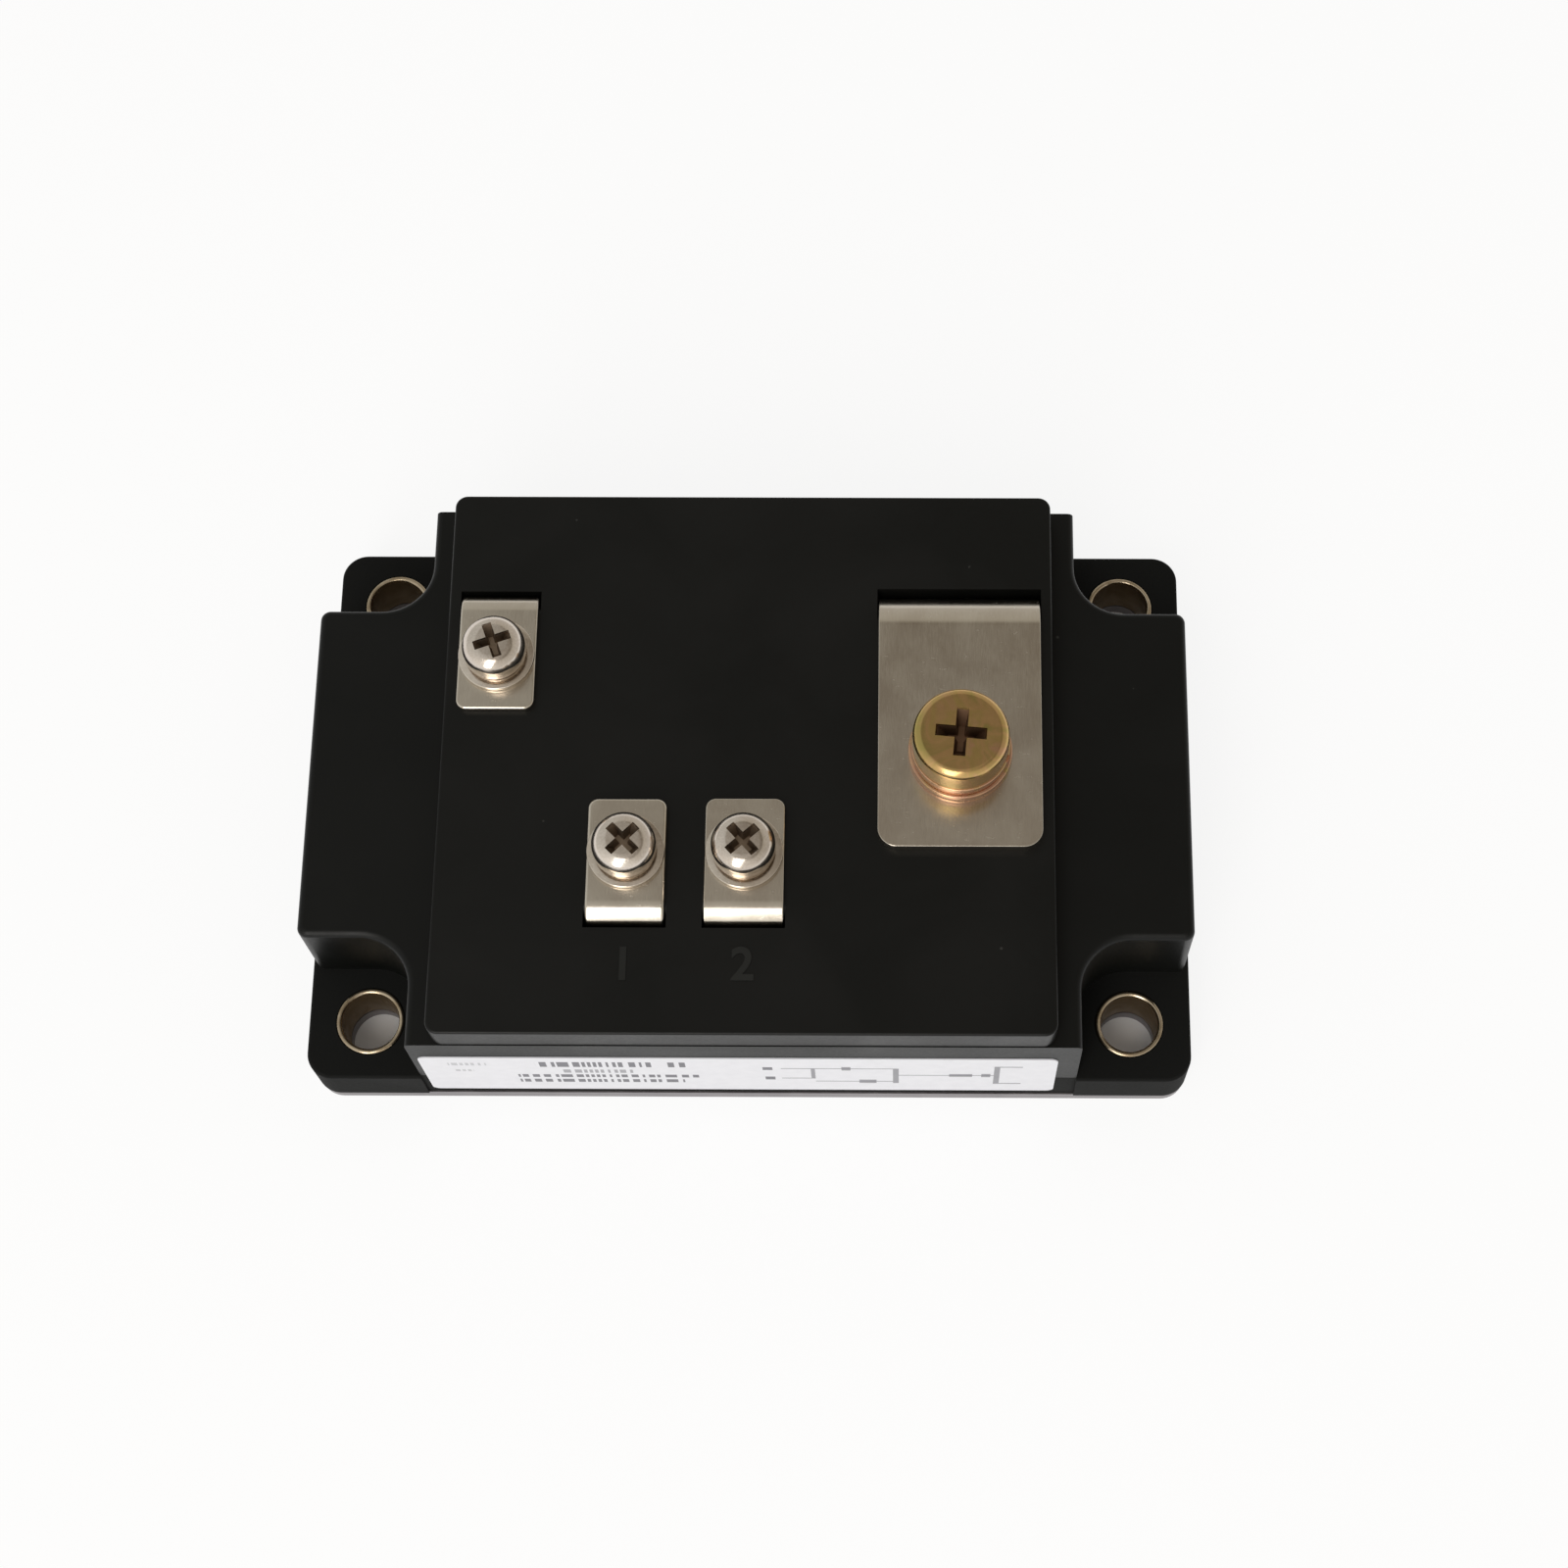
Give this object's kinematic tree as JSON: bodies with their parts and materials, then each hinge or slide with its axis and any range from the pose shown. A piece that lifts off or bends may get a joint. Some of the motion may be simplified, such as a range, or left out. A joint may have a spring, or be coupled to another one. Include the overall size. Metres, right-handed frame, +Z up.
{
  "type": "igbt module",
  "caption": "Black moulded power transistor module on a metal baseplate, with notched corners over the mounting holes, folded screw terminals on a raised lid and a white front label.",
  "frame": {"origin": "middle of the underside of the baseplate", "axes": "+X along the length, towards the power terminal; +Y to the back, away from the label; +Z up, out of the deck"},
  "size_m": [0.108, 0.0698, 0.0365],
  "materials": {
    "housing_black": "matt black moulding",
    "lid_black": "matt black moulding",
    "baseplate_nickel": "nickel-plated copper, satin",
    "sleeve_brass": "plain brass",
    "terminal_nickel": "nickel-plated copper, brushed",
    "screw_yellow": "yellow passivated zinc plate",
    "washer_yellow": "yellow passivated zinc plate, reddish",
    "screw_nickel": "bright nickel plate",
    "nut_steel": "zinc plate",
    "label_white": "white printed film",
    "glue": "grey silicone glue",
    "gel": "clear silicone gel",
    "ceramic": "fired alumina",
    "copper": "bare copper",
    "solder": "dull solder",
    "silicon": "polished silicon",
    "wire_aluminium": "bare aluminium"
  },
  "bodies": {
    "root": {"baseplate": "baseplate_nickel", "housing": "housing_black", "lid": "lid_black", "mounting_sleeves": "sleeve_brass", "glue_bead": "glue", "power_terminal": "terminal_nickel", "emitter_terminal": "terminal_nickel", "gate_terminal": "terminal_nickel", "sense_terminal": "terminal_nickel", "power_screw": "screw_yellow", "power_spring_washer": "washer_yellow", "power_flat_washer": "washer_yellow", "power_nut": "nut_steel", "signal_screws": "screw_nickel", "signal_spring_washers": "screw_nickel", "signal_flat_washers": "screw_nickel", "signal_nuts": "nut_steel", "label": "label_white", "substrate_solder": "solder", "back_copper": "copper", "ceramic": "ceramic", "collector_copper": "copper", "emitter_copper": "copper", "gate_copper": "copper", "sense_copper": "copper", "chip_solder": "solder", "igbt_chips": "silicon", "diode_chips": "silicon", "terminal_solder": "solder", "emitter_wires": "wire_aluminium", "signal_wires": "wire_aluminium", "gel": "gel"}
  },
  "joints": []
}
